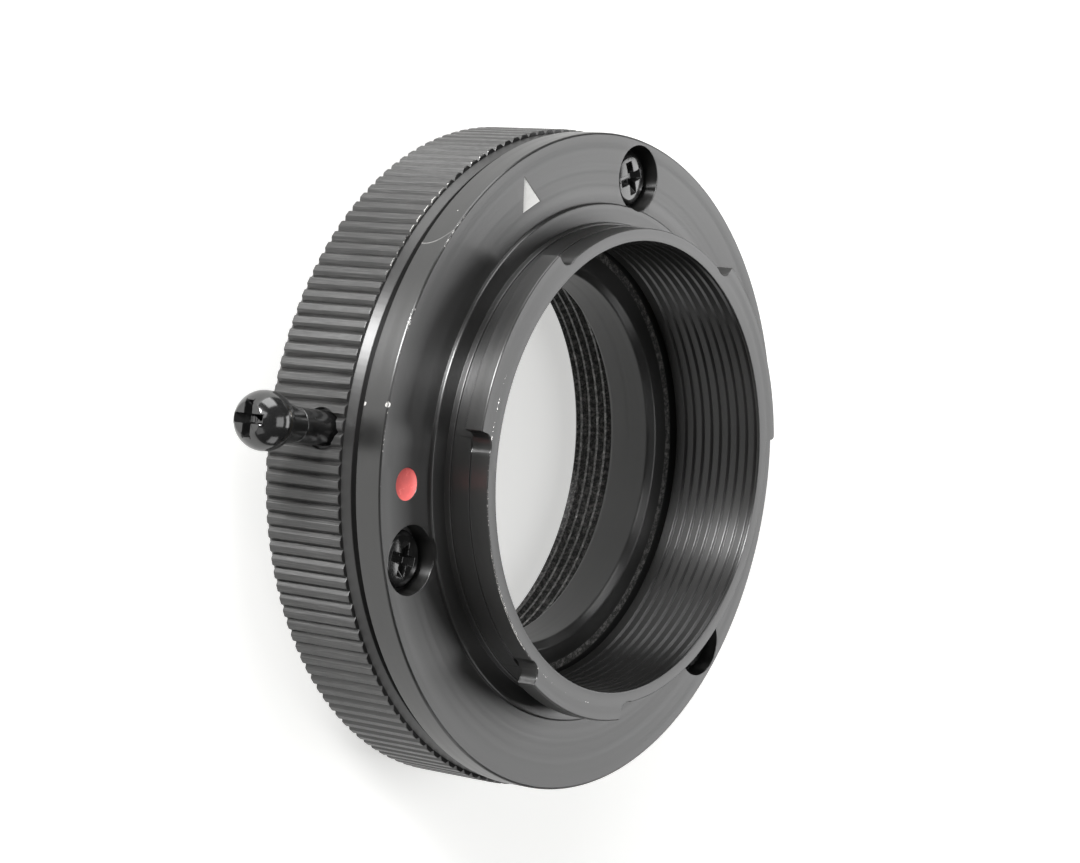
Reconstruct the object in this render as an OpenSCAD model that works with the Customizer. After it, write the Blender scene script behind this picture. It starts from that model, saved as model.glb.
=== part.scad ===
// Lens mount adapter with a focusing ring.
// The bayonet side faces +Z. The lens seat is the plane z = 0, and the optical axis is the Z axis.
// Turning the knurled ring drives the inner barrel along the axis, out of the lens side.

/* [Bayonet flange] */
// Outside diameter of the flange
flange_d = 62; // [54:0.1:70]
// Width of the flange from its edge to the collar wall
flange_w = 8.55; // [8.3:0.05:9.5]
// Thickness of the flange
flange_t = 2.7; // [2.5:0.1:3.4]
// Chamfer round the flange face
flange_chamfer = 0.4; // [0.2:0.05:0.6]
// Height of the collar over the flange face
collar_h = 5; // [4.6:0.1:6]
// Width of the first step at the foot of the collar
step_1_w = 2; // [1.7:0.05:2.25]
// Height of the first step
step_1_h = 0.4; // [0.2:0.05:0.6]
// Width of the second step at the foot of the collar
step_2_w = 0.2; // [0.1:0.05:0.5]
// Height of the second step
step_2_h = 1; // [0.8:0.1:1.4]
// Wall of the collar behind the lugs
collar_wall = 1.35; // [1.25:0.05:1.7]
// Depth to which the collar wall is milled between the lugs
milled_in = 0.15; // [0.12:0.01:0.25]
// How far a lug stands out of the collar wall
lug_out = 1.35; // [0.95:0.05:1.65]
// Thickness of a lug along the axis
lug_t = 1.9; // [1.4:0.1:2.4]
// Radius of the cutter relief beside a lug
relief_r = 1.3; // [1:0.05:1.5]
// Depth of that relief below the milled wall
relief_in = 0.12; // [0.1:0.01:0.15]
// Length of the bore with its light-trap grooves
bore_len = 10; // [9.6:0.1:11]
// Pitch of the light-trap grooves
groove_pitch = 1.04; // [0.9:0.02:1.2]
// Depth of a light-trap groove
groove_depth = 0.2; // [0.15:0.05:0.4]
// Width of a light-trap groove at its mouth
groove_w = 0.36; // [0.3:0.02:0.5]
// Wall of the spigot behind the flange
spigot_wall = 1.4; // [1.2:0.05:1.45]

/* [Index marks] */
// Distance of the red index dot from the flange edge
dot_inset = 3.65; // [3.2:0.05:4.2]
// Diameter of the red index dot
dot_d = 2.9; // [2:0.1:3.4]
// Distance of the white triangle mark from the flange edge
mark_inset = 3.2; // [2.8:0.05:3.8]
// Height of the white triangle mark
mark_h = 3; // [2:0.1:3.4]
// Depth of the paint in both marks
paint_depth = 0.35; // [0.2:0.05:0.6]

/* [Mount screws] */
// Distance of the three screws from the flange edge
screw_inset = 3.6; // [3.5:0.05:3.8]
// Diameter of a mount screw head
screw_head_d = 5.2; // [4.4:0.1:5.6]
// Height of a mount screw head
screw_head_h = 1.1; // [0.9:0.05:1.3]
// Diameter of the counterbore for a head
counterbore_d = 6.2; // [5.9:0.1:6.2]
// Depth of the counterbore
counterbore_depth = 1.9; // [1.6:0.1:2]
// Thread diameter of a mount screw
screw_d = 2; // [1.6:0.1:2.1]
// Length of a mount screw under its head
screw_len = 4.4; // [3.6:0.1:4.6]

/* [Lens side] */
// Wall of the barrel between its drive thread and the lens thread
barrel_wall = 4.14; // [3.9:0.02:4.4]
// Length of the lens thread
lens_thread_len = 5.9; // [5:0.1:7]
// Relief groove between the lens thread and the lip
runout_len = 0.3; // [0.2:0.05:0.6]
// Depth of that groove, a little more than the thread's
runout_depth = 0.56; // [0.54:0.02:0.8]
// Width of the lip inside the lens thread
lip_w = 2.46; // [1.5:0.02:4]
// Length of the lip
lip_len = 5.5; // [5.2:0.1:6.5]
// Chamfer on the two edges of the lip
lip_chamfer = 0.6; // [0.3:0.1:1]
// Gap between the barrel and the spigot when the barrel is fully in
front_gap = 0.8; // [0.6:0.1:1.2]

/* [Focusing] */
// Travel of the barrel
focus_travel = 5.5; // [3:0.1:6]
// Turn of the focusing ring over the travel, in degrees
focus_angle = 270; // [180:5:300]
// How far the knurl of the focusing ring stands out over the flange
grip_over = 0.2; // [0.1:0.05:1]
// Length of the focusing ring
grip_len = 10.55; // [10.2:0.05:11]
// Length of the knurl
knurl_len = 8.5; // [7:0.1:8.8]
// Plain band between the knurl and the front of the ring
front_band = 1.5; // [1.2:0.1:1.7]
// Number of teeth of the knurl
knurl_teeth = 150; // [120:2:180]
// Depth of the knurl
knurl_depth = 0.35; // [0.2:0.05:0.45]
// Gap between the flange and the focusing ring
ring_gap = 0.4; // [0.3:0.05:0.6]
// Thickness of the web that holds the drive thread
web_t = 4.65; // [4.2:0.05:4.8]
// Wall of the focusing ring from its teeth to the hub
grip_wall = 1.95; // [1.75:0.05:2.1]
// Wall of the hub that the focusing ring turns on
hub_wall = 4.3; // [4.2:0.05:4.5]
// Thickness of the shim under the flange
shim_t = 0.3; // [0.2:0.05:0.4]
// Diameter of the wire of the snap ring
wire_d = 0.8; // [0.6:0.05:0.9]
// Opening of the snap ring, in degrees
wire_gap = 12; // [6:1:30]
// Diameter of the stop pin
stop_pin_d = 1.4; // [1:0.1:1.6]

/* [Guide keys] */
// Width of a guide key in its slot
key_w = 4; // [3:0.1:5]
// Radial thickness of a guide key
key_t = 1.6; // [1.2:0.1:1.7]
// Width of the foot of a guide key
foot_w = 8.6; // [8.2:0.1:9.4]
// Thickness of the foot
foot_t = 1.2; // [1:0.05:1.3]
// Thread diameter of a key screw
key_screw_d = 1.4; // [1.2:0.1:1.5]
// Diameter of a key screw head
key_head_d = 2.4; // [2.1:0.1:2.6]

/* [Focusing lever] */
// Angle of the lever round the axis, in degrees
lever_angle = 174.8; // [170:0.2:180]
// Height of the lever over the lens seat
lever_z = 10.4; // [9:0.1:10.6]
// Diameter of the lever post
post_d = 3.1; // [2.6:0.1:3.4]
// Length of the post out of the knurl
post_len = 3.35; // [2.5:0.05:5]
// Diameter of the round head
bulb_d = 5.3; // [4.6:0.1:6]
// Length of the round head
bulb_len = 6.15; // [5.65:0.1:7.05]

/* [Hidden] */
$fn = 144;

// Clearances
run_clear = 0.05;
loose_clear = 0.3;
slide_clear = 0.12;
eps = 0.01;
past = 1;

// Heights, from the lens seat up
barrel_len = lens_thread_len + runout_len + lip_len;
spigot_z = barrel_len + front_gap;
collar_z = spigot_z + bore_len;
flange_z = collar_z - collar_h;
flange_under_z = flange_z - flange_t;
hub_top_z = flange_under_z - shim_t;
grip_top_z = flange_under_z - ring_gap;
grip_low_z = grip_top_z - grip_len;
web_top_z = grip_low_z + web_t;
hub_low_z = web_top_z + loose_clear;
knurl_top_z = grip_top_z - front_band;
knurl_low_z = knurl_top_z - knurl_len;
lug_z = collar_z - lug_t;
mill_z = lug_z - 0.1;
relief_z = lug_z - 0.2;
seat_z = flange_z - counterbore_depth;
wire_drop = 1.5;
wire_z = flange_under_z - wire_drop;

// Radii, from the flange edge in
flange_r = flange_d / 2;
collar_r = flange_r - flange_w;
step_1_r = collar_r + step_1_w;
step_2_r = collar_r + step_2_w;
milled_r = collar_r - milled_in;
lug_r = collar_r + lug_out;
bore_r = collar_r - collar_wall;
spigot_r = bore_r + spigot_wall;
grip_r = flange_r + grip_over;
root_r = grip_r - knurl_depth;
band_r = root_r - 0.05;
sleeve_r = grip_r - grip_wall;
hub_r = sleeve_r - run_clear;
hub_bore_r = hub_r - hub_wall;
barrel_r = hub_bore_r - loose_clear;
thread_r = barrel_r - barrel_wall;
lip_r = thread_r - lip_w;
register_r = hub_bore_r - run_clear;
register_h = 0.9;
edge = 0.2;

// Gaps milled between the lugs, each with its first and last angle, and the gap ends that have a cutter relief
lug_gaps = [[55.8, 124], [173.5, 233.2], [272.2, 365.9]];
relief_at = [[55.8, 1], [124, -1], [173.5, 1], [233.2, -1], [272.2, 1]];
relief_centre_r = milled_r + relief_r - relief_in;
relief_turn = asin(0.4 * relief_r / relief_centre_r);
lock_slot_angle = -12;
lock_slot_w = 2.2;
lock_slot_len = 3;

// Places round the axis, in degrees
screw_angles = [80.7, 197.5, 317.6];
screw_circle_r = flange_r - screw_inset;
dot_angle = 183.2;
dot_circle_r = flange_r - dot_inset;
mark_angle = 117;
mark_circle_r = flange_r - mark_inset;
mark_w = 0.9 * mark_h;

// Guide keys
key_angles = [40, 220];
key_in_r = spigot_r + 0.2;
key_out_r = key_in_r + key_t;
foot_low_z = barrel_len + 0.2;
foot_top_z = foot_low_z + foot_t;
foot_depth = 2.8;
foot_rim = 0.4;
foot_out_r = hub_bore_r + foot_depth;
pocket_h = hub_top_z - foot_low_z;
key_head_h = 0.6;
key_grip_len = 2;
key_screw_len = foot_t + key_grip_len;
key_screw_r = (hub_bore_r + foot_out_r) / 2;
key_screw_x = foot_w / 2 - key_head_d / 2 - foot_rim;
slot_floor_z = 3;
key_end_gap = 0.4;
key_low_z = slot_floor_z + key_end_gap;

// Stop
stop_angle = 120;
stop_r = (hub_bore_r + hub_r) / 2;
stop_in_hub = 1.6;
stop_out = 1.3;
stop_track_depth = 1.6;
stop_track_w = stop_pin_d + 2 * loose_clear;
stop_end = asin(stop_pin_d / 2 / stop_r) + 0.3;

// Lever
spot_depth = 0.5;
spot_r = root_r - spot_depth;
spot_d = post_d + 2 * loose_clear;
stud_d = 2;
stud_in_r = sleeve_r + slide_clear;
post_end_r = grip_r + post_len;
bulb_r = bulb_d / 2;
neck_a = 132;
end_a = 34;
bulb_centre = bulb_len - bulb_r * cos(end_a);
lever_recess_across = 3.4;
lever_recess_w = 0.8;
lever_recess_depth = 1.4;
lever_bore_d = 1.7;
lever_thread_d = lever_bore_d - 2 * run_clear;
lever_thread_len = 2.8;

module at_angle(a, r, z) {
    rotate([0, 0, a]) translate([r, 0, z]) children();
}

// Local +Z points straight out of the ring at the lever
module at_lever(r) {
    rotate([0, 0, lever_angle]) translate([r, 0, lever_z]) rotate([0, 90, 0]) children();
}

// Ring sector of a rectangular section
module sector(r_in, r_out, z_low, z_high, a_from, a_to) {
    rotate([0, 0, a_from])
        rotate_extrude(angle = a_to - a_from)
            translate([r_in, z_low])
                square([r_out - r_in, z_high - z_low]);
}

// Cross recess whose mouth is at z = 0
module cross_recess(across, slot_w, depth) {
    for (turn = [0, 90])
        rotate([0, 0, turn])
            translate([-across / 2, -slot_w / 2, -depth])
                cube([across, slot_w, depth + past]);
    translate([0, 0, -depth])
        cylinder(d1 = slot_w * 0.9, d2 = across * 0.62, h = depth + eps, $fn = 32);
}

// Cheese head screw with its seat at z = 0 and its shank below
module cross_screw(head_d, head_h, shank_d, shank_len) {
    difference() {
        union() {
            translate([0, 0, -shank_len]) cylinder(d = shank_d, h = shank_len + eps, $fn = 32);
            cylinder(d = head_d, h = head_h * 0.6, $fn = 48);
            translate([0, 0, head_h * 0.6 - eps])
                cylinder(d1 = head_d, d2 = head_d * 0.84, h = head_h * 0.4 + eps, $fn = 48);
        }
        translate([0, 0, head_h]) cross_recess(head_d * 0.62, head_d * 0.17, head_h * 0.72);
    }
}

// Bore wall from the collar's end down to the spigot's end, with V grooves
groove_count = floor((bore_len - 0.7) / groove_pitch) + 1;
function groove_mid(i) = collar_z - 0.45 - i * groove_pitch;
groove_half = groove_w / 2;
bore_wall = [for (i = [0 : groove_count - 1]) each [
    [bore_r, groove_mid(i) + groove_half],
    [bore_r + groove_depth, groove_mid(i)],
    [bore_r, groove_mid(i) - groove_half]
]];

module mount_section() {
    polygon(concat(
        [[bore_r, collar_z]],
        bore_wall,
        [
            [bore_r, spigot_z],
            [spigot_r, spigot_z],
            [spigot_r, flange_under_z - register_h],
            [register_r, flange_under_z - register_h],
            [register_r, flange_under_z],
            [flange_r - edge, flange_under_z],
            [flange_r, flange_under_z + edge],
            [flange_r, flange_z - flange_chamfer],
            [flange_r - flange_chamfer, flange_z],
            [step_1_r, flange_z],
            [step_1_r, flange_z + step_1_h - edge / 2],
            [step_1_r - edge / 2, flange_z + step_1_h],
            [step_2_r, flange_z + step_1_h],
            [step_2_r, flange_z + step_2_h - edge / 2],
            [step_2_r - edge / 2, flange_z + step_2_h],
            [collar_r, flange_z + step_2_h],
            [collar_r, lug_z],
            [lug_r, lug_z],
            [lug_r, collar_z]
        ]
    ));
}

module mark_outline(shrink) {
    polygon([
        [mark_h / 2 - shrink * 2, 0],
        [-mark_h / 2 + shrink, mark_w / 2 - shrink * 1.5],
        [-mark_h / 2 + shrink, -mark_w / 2 + shrink * 1.5]
    ]);
}

module bayonet_mount() {
    color([0.13, 0.13, 0.14])
    difference() {
        rotate_extrude() mount_section();
        for (gap = lug_gaps)
            sector(milled_r, lug_r + past, mill_z, collar_z + past, gap[0], gap[1]);
        for (relief = relief_at)
            at_angle(relief[0] + relief[1] * relief_turn, relief_centre_r, relief_z)
                cylinder(r = relief_r, h = lug_t + past, $fn = 32);
        for (a = screw_angles) {
            at_angle(a, screw_circle_r, seat_z) cylinder(d = counterbore_d, h = flange_t + past, $fn = 64);
            at_angle(a, screw_circle_r, flange_under_z - past)
                cylinder(d = screw_d + 2 * slide_clear, h = flange_t + past, $fn = 32);
        }
        at_angle(dot_angle, dot_circle_r, flange_z - paint_depth)
            cylinder(d = dot_d, h = paint_depth + past, $fn = 48);
        at_angle(mark_angle, mark_circle_r, flange_z - paint_depth)
            linear_extrude(paint_depth + past) mark_outline(0);
        at_angle(lock_slot_angle, screw_circle_r - lock_slot_len / 2, flange_under_z - past)
            translate([0, -lock_slot_w / 2, 0])
                cube([lock_slot_len, lock_slot_w, flange_t + 2 * past]);
    }
}

module mount_screw(i) {
    color([0.07, 0.07, 0.07])
        at_angle(screw_angles[i - 1], screw_circle_r, seat_z)
            rotate([0, 0, 30 * i])
                cross_screw(screw_head_d, screw_head_h, screw_d, screw_len);
}

module index_dot() {
    color([0.8, 0.12, 0.13])
        at_angle(dot_angle, dot_circle_r, flange_z - paint_depth)
            cylinder(d = dot_d - 2 * eps, h = paint_depth * 0.7, $fn = 48);
}

module index_mark() {
    color([0.9, 0.9, 0.88])
        at_angle(mark_angle, mark_circle_r, flange_z - paint_depth)
            linear_extrude(paint_depth * 0.7) mark_outline(eps);
}

module shim_ring() {
    color([0.72, 0.58, 0.3])
    difference() {
        translate([0, 0, hub_top_z]) cylinder(r = hub_r, h = shim_t);
        translate([0, 0, hub_top_z - past]) cylinder(r = hub_bore_r, h = shim_t + 2 * past);
        for (a = screw_angles)
            at_angle(a, screw_circle_r, hub_top_z - past)
                cylinder(d = screw_d + 2 * slide_clear, h = shim_t + 2 * past, $fn = 32);
    }
}

module wire_groove(clear) {
    rotate_extrude()
        translate([hub_r, wire_z])
            square([wire_d + 2 * clear, wire_d + 2 * clear], center = true);
}

module base_ring() {
    color([0.12, 0.12, 0.13])
    difference() {
        translate([0, 0, hub_low_z]) cylinder(r = hub_r, h = hub_top_z - hub_low_z);
        translate([0, 0, hub_low_z - past]) cylinder(r = hub_bore_r, h = hub_top_z - hub_low_z + 2 * past);
        wire_groove(run_clear);
        for (a = screw_angles)
            at_angle(a, screw_circle_r, seat_z - screw_len - loose_clear)
                cylinder(d = screw_d + 2 * run_clear, h = screw_len + past, $fn = 32);
        for (a = key_angles) {
            at_angle(a, 0, foot_low_z)
                translate([hub_bore_r - past, -foot_w / 2 - slide_clear, 0])
                    cube([foot_depth + past + slide_clear, foot_w + 2 * slide_clear, pocket_h + past]);
            for (side = [-1, 1])
                at_angle(a, 0, foot_top_z - key_screw_len - loose_clear)
                    translate([key_screw_r, side * key_screw_x, 0])
                        cylinder(d = key_screw_d + 2 * run_clear, h = key_screw_len, $fn = 32);
        }
        at_angle(stop_angle, stop_r, hub_low_z - past)
            cylinder(d = stop_pin_d, h = stop_in_hub + past, $fn = 32);
    }
}

module guide_key(i) {
    color([0.75, 0.6, 0.32])
    rotate([0, 0, key_angles[i - 1]])
    difference() {
        union() {
            translate([key_in_r, -key_w / 2, key_low_z])
                cube([key_t, key_w, foot_top_z - key_low_z]);
            translate([key_in_r, -foot_w / 2, foot_low_z])
                cube([foot_out_r - key_in_r, foot_w, foot_t]);
        }
        for (side = [-1, 1])
            translate([key_screw_r, side * key_screw_x, foot_low_z - past])
                cylinder(d = key_screw_d + 2 * run_clear, h = foot_t + 2 * past, $fn = 32);
    }
}

module key_screw(i) {
    color([0.6, 0.6, 0.62])
    rotate([0, 0, key_angles[i > 2 ? 1 : 0]])
        translate([key_screw_r, (i % 2 == 0 ? 1 : -1) * key_screw_x, foot_top_z])
            cross_screw(key_head_d, key_head_h, key_screw_d, key_screw_len);
}

module snap_ring() {
    color([0.55, 0.55, 0.57])
    rotate([0, 0, wire_gap / 2])
        rotate_extrude(angle = 360 - wire_gap)
            translate([hub_r, wire_z]) circle(d = wire_d, $fn = 32);
}

module stop_pin() {
    color([0.55, 0.55, 0.57])
        at_angle(stop_angle, stop_r, hub_low_z - stop_out)
            cylinder(d = stop_pin_d - 2 * eps, h = stop_out + stop_in_hub, $fn = 32);
}

// Toothed outline: each tooth has a flat crest and a V groove beside it
crest_share = 0.56;
module knurl_outline() {
    pitch = 360 / knurl_teeth;
    polygon([for (i = [0 : knurl_teeth - 1]) each [
        root_r * [cos(i * pitch), sin(i * pitch)],
        grip_r * [cos((i + 0.5 - crest_share / 2) * pitch), sin((i + 0.5 - crest_share / 2) * pitch)],
        grip_r * [cos((i + 0.5 + crest_share / 2) * pitch), sin((i + 0.5 + crest_share / 2) * pitch)]
    ]]);
}

module focus_ring() {
    color([0.15, 0.15, 0.16])
    difference() {
        union() {
            translate([0, 0, knurl_low_z]) linear_extrude(knurl_len) knurl_outline();
            translate([0, 0, knurl_top_z - eps])
                cylinder(r1 = band_r, r2 = band_r - edge, h = front_band - edge + eps);
            translate([0, 0, grip_top_z - edge - eps])
                cylinder(r1 = band_r - edge, r2 = band_r - 2 * edge, h = edge + eps);
            translate([0, 0, grip_low_z])
                cylinder(r1 = band_r - 2 * edge, r2 = band_r, h = knurl_low_z - grip_low_z + eps);
        }
        translate([0, 0, grip_low_z - past]) cylinder(r = hub_bore_r, h = web_t + 2 * past);
        translate([0, 0, web_top_z]) cylinder(r = sleeve_r, h = grip_len);
        rotate_extrude()
            translate([hub_r, wire_z])
                square([wire_d + 4 * slide_clear, wire_d + 4 * slide_clear], center = true);
        sector(stop_r - stop_track_w / 2, stop_r + stop_track_w / 2, web_top_z - stop_track_depth,
            web_top_z + past, stop_angle - focus_angle - stop_end, stop_angle + stop_end);
        at_lever(spot_r) cylinder(d = spot_d, h = grip_r - spot_r + past, $fn = 48);
        at_lever(sleeve_r - past) cylinder(d = stud_d + 2 * eps, h = spot_r - sleeve_r + 2 * past, $fn = 32);
    }
}

module lever_post() {
    color([0.06, 0.06, 0.06])
    difference() {
        union() {
            at_lever(stud_in_r) cylinder(d = stud_d, h = spot_r - stud_in_r + eps, $fn = 32);
            at_lever(spot_r) cylinder(d = post_d, h = post_end_r - spot_r, $fn = 48);
        }
        at_lever(post_end_r - lever_thread_len - loose_clear)
            cylinder(d = lever_bore_d, h = lever_thread_len + loose_clear + past, $fn = 32);
    }
}

// Half outline of the round head: a tapered neck that meets the ball, and a flattened end
module bulb_section() {
    polygon(concat(
        [[0, 0], [post_d / 2, 0]],
        [for (k = [0 : 12]) let (a = neck_a - (neck_a - end_a) * k / 12)
            [bulb_r * sin(a), bulb_centre + bulb_r * cos(a)]],
        [[0, bulb_centre + bulb_r * cos(end_a)]]
    ));
}

module lever_screw() {
    color([0.06, 0.06, 0.06])
    difference() {
        union() {
            at_lever(post_end_r) rotate_extrude($fn = 64) bulb_section();
            at_lever(post_end_r - lever_thread_len)
                cylinder(d = lever_thread_d, h = lever_thread_len + eps, $fn = 32);
        }
        at_lever(post_end_r + bulb_len)
            cross_recess(lever_recess_across, lever_recess_w, lever_recess_depth);
    }
}

module lens_barrel() {
    color([0.12, 0.12, 0.13])
    difference() {
        rotate_extrude()
            polygon([
                [thread_r, 0],
                [thread_r, lens_thread_len],
                [thread_r + runout_depth, lens_thread_len],
                [thread_r + runout_depth, lens_thread_len + runout_len],
                [lip_r + lip_chamfer, lens_thread_len + runout_len],
                [lip_r, lens_thread_len + runout_len + lip_chamfer],
                [lip_r, barrel_len - lip_chamfer],
                [lip_r + lip_chamfer, barrel_len],
                [barrel_r - edge, barrel_len],
                [barrel_r, barrel_len - edge],
                [barrel_r, 2 * edge],
                [barrel_r - 2 * edge, 0]
            ]);
        for (a = key_angles)
            at_angle(a, key_in_r - slide_clear, slot_floor_z)
                translate([0, -key_w / 2 - slide_clear, 0])
                    cube([barrel_r, key_w + 2 * slide_clear, barrel_len]);
    }
}

bayonet_mount();
for (i = [1 : 3])
    mount_screw(i);
index_dot();
index_mark();
shim_ring();
base_ring();
for (i = [1 : 2])
    guide_key(i);
for (i = [1 : 4])
    key_screw(i);
snap_ring();
stop_pin();
focus_ring();
lever_post();
lever_screw();
lens_barrel();
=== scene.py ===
# %% [markdown]
# This lesson dresses a lens mount adapter. It is a black anodised ring with a three-lug bayonet on one
# side, a lens thread on the other, and a knurled ring with a small lever between them that slides the
# inner barrel in and out. The solids come ready made as a fixed frame, and every piece made here lies in
# that same frame: Z is the optical axis, and the lens seat is the plane at height zero.

# %% Load the frame
import math

import bmesh
import bpy
from mathutils import Matrix, Vector


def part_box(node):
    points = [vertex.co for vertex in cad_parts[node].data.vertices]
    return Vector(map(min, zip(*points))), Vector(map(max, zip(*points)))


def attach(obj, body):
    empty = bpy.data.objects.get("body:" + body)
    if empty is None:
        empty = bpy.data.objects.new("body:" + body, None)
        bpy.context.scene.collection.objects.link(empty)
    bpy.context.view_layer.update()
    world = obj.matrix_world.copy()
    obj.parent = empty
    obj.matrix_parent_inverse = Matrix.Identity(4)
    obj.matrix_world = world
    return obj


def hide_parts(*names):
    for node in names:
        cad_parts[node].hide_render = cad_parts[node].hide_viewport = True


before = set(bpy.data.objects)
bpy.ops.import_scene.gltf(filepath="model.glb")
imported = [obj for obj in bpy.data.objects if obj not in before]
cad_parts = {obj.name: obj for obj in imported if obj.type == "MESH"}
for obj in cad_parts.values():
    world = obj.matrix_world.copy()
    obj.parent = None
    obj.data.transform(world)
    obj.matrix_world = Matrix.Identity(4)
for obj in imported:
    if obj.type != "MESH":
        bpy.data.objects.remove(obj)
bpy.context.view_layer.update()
MM = 0.001

# %% [markdown]
# The drawing of such a ring gives its sizes in millimetres, so the outlines below are written that way
# and turned into metres at the last moment. Overall sizes are read off the frame. The others are the
# steps, walls and edges between them.

# %% Sizes read off the frame


def low_mm(node):
    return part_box(node)[0] / MM


def high_mm(node):
    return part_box(node)[1] / MM


collar_z = high_mm("bayonet_mount").z
spigot_z = low_mm("bayonet_mount").z
flange_r = high_mm("bayonet_mount").x
grip_r = high_mm("focus_ring").y
grip_top_z = high_mm("focus_ring").z
grip_low_z = low_mm("focus_ring").z
barrel_r = high_mm("lens_barrel").x
barrel_len = high_mm("lens_barrel").z
hub_r = high_mm("shim_ring").x
print("flange radius", round(flange_r, 2), "grip radius", round(grip_r, 2), "collar", round(collar_z, 2))

# %% [markdown]
# The mount's own sizes follow: how deep the flange is, how wide its face, the two low steps at the foot
# of the collar, the lugs, the bore, and the three places where screws hold it to the hub.

# %% Sizes of the mount
collar_h = 5.0
flange_t = 2.7
flange_w = 8.55
flange_z = collar_z - collar_h
flange_under_z = flange_z - flange_t
collar_r = flange_r - flange_w
step_1_r = collar_r + 2.0
step_1_h = 0.4
step_2_r = collar_r + 0.2
step_2_h = 1.0
milled_r = collar_r - 0.15
lug_r = collar_r + 1.35
lug_z = collar_z - 1.9
bore_r = collar_r - 1.35
spigot_r = bore_r + 1.4
barrel_gap = 0.3
hub_bore_r = barrel_r + barrel_gap
register_r = hub_bore_r - 0.05
lens_minor_r = barrel_r - 4.14
lens_thread_deep = 0.54
lip_r = lens_minor_r - 2.46
screw_angles = [80.7, 197.5, 317.6]
screw_circle_r = flange_r - 3.6
seat_z = flange_z - 1.9
print("flange face at", flange_z, "bore radius", bore_r)

# %% [markdown]
# The camera stands where the photographer's stood, on the bayonet side, looking down on the ring, and is
# rolled so that the ring seems to stand on its rim. Its place and turn come from matching the circles of
# the flange, the collar and the bore.

# %% Camera
camera_place = Vector((-0.2313155, 0.0184075, 0.1846679))
image_right = Vector((0.6017646, 0.06476847, 0.79604297))
image_up = Vector((0.00516372, 0.99637003, -0.08497118))
toward_camera = image_right.cross(image_up)
camera = bpy.data.objects.new("camera", bpy.data.cameras.new("camera"))
camera.data.lens = 101.1
camera.data.sensor_width = 36
camera.data.clip_start = 0.01
camera.matrix_world = Matrix((image_right, image_up, toward_camera)).transposed().to_4x4()
camera.location = camera_place
bpy.context.scene.collection.objects.link(camera)
bpy.context.scene.camera = camera
bpy.context.scene.view_settings.view_transform = "Standard"
print("camera looks along", [round(-v, 3) for v in toward_camera])

# %% [markdown]
# Nearly every piece here came off a lathe, so the main tool is a function that turns a closed outline of
# radius and height round the Z axis. A corner point may carry a third number, the size of its rounding.
# No machined edge is truly sharp, and it is the small rounding that catches the light.

# %% Outlines with rounded corners


def rounded(outline, bends=3):
    made = []
    for i, point in enumerate(outline):
        corner = Vector(point[:2])
        size = point[2] if len(point) > 2 else 0.05
        before = Vector(outline[i - 1][:2]) - corner
        after = Vector(outline[(i + 1) % len(outline)][:2]) - corner
        reach = min(size, 0.45 * before.length, 0.45 * after.length)
        if size <= 0:
            made.append(corner)
            continue
        start = corner + before.normalized() * reach
        end = corner + after.normalized() * reach
        for k in range(bends + 1):
            t = k / bends
            made.append(start.lerp(corner, t).lerp(corner.lerp(end, t), t))
    return made


print("points of a rounded square:", len(rounded([(0, 0), (1, 0), (1, 1), (0, 1)])))

# %% Turning an outline on the lathe


def column(mesh, outline, angle, place=None):
    """Adds the outline's points to a bmesh, turned to the angle. Points are radius and height."""
    c, s = math.cos(math.radians(angle)), math.sin(math.radians(angle))
    points = [Vector((r * c, r * s, z)) * MM for r, z in outline]
    return [mesh.verts.new(place @ point if place else point) for point in points]


def join_columns(mesh, columns, full_turn=True, closed=True):
    """Fills the faces between neighbouring columns. A closed outline joins its last point to its first."""
    count, rows = len(columns), len(columns[0])
    for j in range(count if full_turn else count - 1):
        here, after = columns[j], columns[(j + 1) % count]
        for i in range(rows if closed else rows - 1):
            k = (i + 1) % rows
            mesh.faces.new((here[i], after[i], after[k], here[k]))


def sweep(mesh, outline, angles, place=None):
    """Adds the outline, swept through the angles, to a bmesh. A full turn closes on itself."""
    full = abs(angles[-1] - angles[0] - 360) < 1e-6
    columns = [column(mesh, outline, angle, place) for angle in (angles[:-1] if full else angles)]
    join_columns(mesh, columns, full)
    if not full:
        mesh.faces.new(columns[0])
        mesh.faces.new(columns[-1])


def even_angles(steps, start=0.0, end=360.0):
    return [start + (end - start) * k / steps for k in range(steps + 1)]


def piece_from(mesh, name, weld=1e-7):
    """Merges doubles, points the faces outwards and puts the mesh in the scene."""
    bmesh.ops.remove_doubles(mesh, verts=mesh.verts, dist=weld)
    bmesh.ops.dissolve_degenerate(mesh, edges=mesh.edges, dist=weld)
    bmesh.ops.recalc_face_normals(mesh, faces=mesh.faces)
    data = bpy.data.meshes.new(name)
    mesh.to_mesh(data)
    mesh.free()
    made = bpy.data.objects.new(name, data)
    bpy.context.scene.collection.objects.link(made)
    return made


def turned(name, outline, steps=192, place=None):
    mesh = bmesh.new()
    sweep(mesh, outline, even_angles(steps), place)
    return piece_from(mesh, name)


print("angles of a quarter turn:", even_angles(3, 0, 90))

# %% [markdown]
# Slots, counterbores and gaps are cut as a mill or a drill would cut them: a tool of the same form is
# taken away with an exact Boolean. The fresh edges are then broken by a narrow bevel, and normals that
# are averaged by area keep the wide flat faces flat beside it.

# %% Cutting and finishing


def baked(piece):
    """Turns what the modifiers make into the piece's own mesh."""
    graph = bpy.context.evaluated_depsgraph_get()
    data = bpy.data.meshes.new_from_object(piece.evaluated_get(graph))
    piece.modifiers.clear()
    old = piece.data
    piece.data = data
    bpy.data.meshes.remove(old)
    return piece


def cut(piece, *tools):
    for tool in tools:
        step = piece.modifiers.new("cut", "BOOLEAN")
        step.operation = "DIFFERENCE"
        step.solver = "EXACT"
        step.object = tool
    baked(piece)
    for tool in tools:
        bpy.data.objects.remove(tool)
    return piece


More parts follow.
